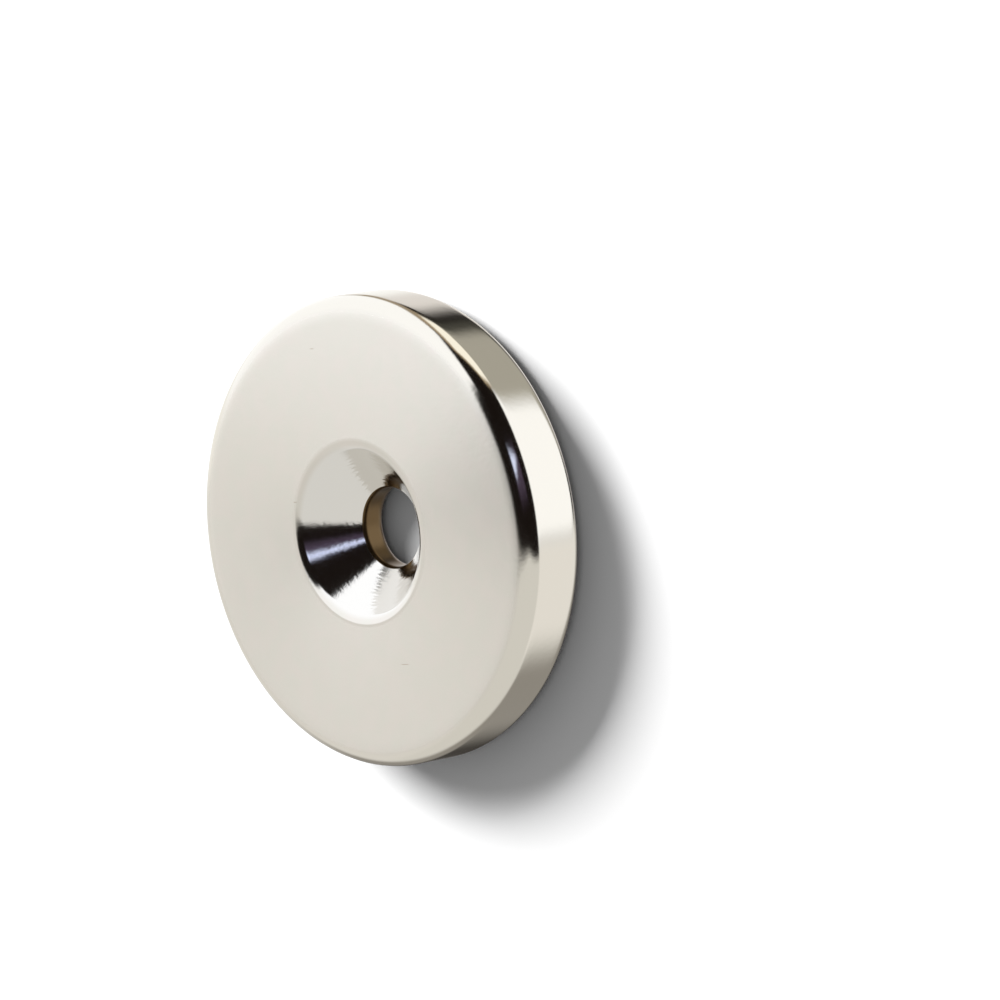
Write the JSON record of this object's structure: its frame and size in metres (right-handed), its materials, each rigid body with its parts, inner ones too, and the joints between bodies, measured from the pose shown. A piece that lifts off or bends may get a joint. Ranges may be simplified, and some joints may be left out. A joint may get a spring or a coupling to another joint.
{
  "type": "neodymium magnet",
  "caption": "Flat round nickel-plated magnet with rounded edges and a countersunk screw hole through its middle.",
  "frame": {"origin": "centre of the back face, which the disc lies on", "axes": "+Z along the disc's axis, from the back face to the countersunk front face; X and Y are free because the disc is round"},
  "size_m": [0.03, 0.03, 0.005],
  "materials": {
    "nickel_plating": "nickel plating, bright on the rim and edges, satin on the flat faces"
  },
  "bodies": {
    "root": {"magnet": "nickel_plating"}
  },
  "joints": []
}
